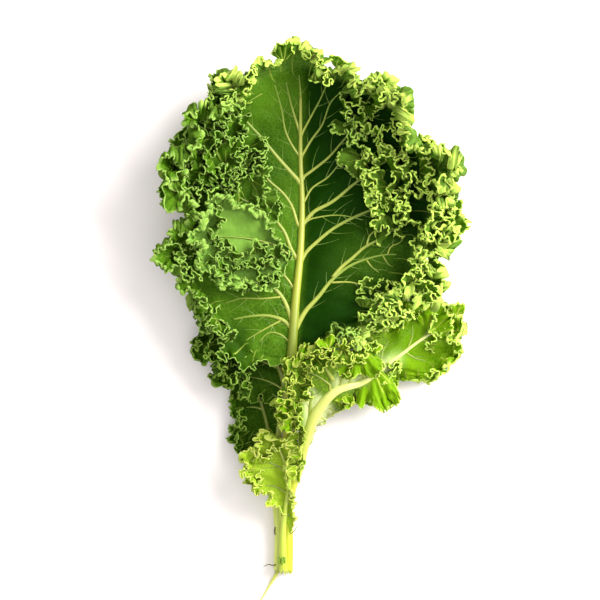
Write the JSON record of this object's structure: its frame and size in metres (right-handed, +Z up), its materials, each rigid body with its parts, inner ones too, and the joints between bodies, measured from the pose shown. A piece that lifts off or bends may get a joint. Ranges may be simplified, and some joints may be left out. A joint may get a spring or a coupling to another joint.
{
  "type": "kale bunch",
  "caption": "Small bunch of curly kale lying flat: a large frilled leaf on top, smaller leaves round its stalk, all stalks side by side.",
  "frame": {"origin": "centre of the bunch's box, on the surface it lies on", "axes": "+Y from the cut stalks to the tip of the front leaf, +X to the right seen from above with the stalks towards the viewer, +Z up from the surface"},
  "size_m": [0.194, 0.355, 0.0611],
  "materials": {
    "dark_leaf": "satin green leaf with paler ribs",
    "young_leaf": "satin pale green leaf with yellow ribs"
  },
  "bodies": {
    "root": {"leaf_front": "dark_leaf", "leaf_left": "dark_leaf", "leaf_left_low": "dark_leaf", "leaf_right": "young_leaf", "leaf_small_front": "young_leaf"}
  },
  "joints": []
}
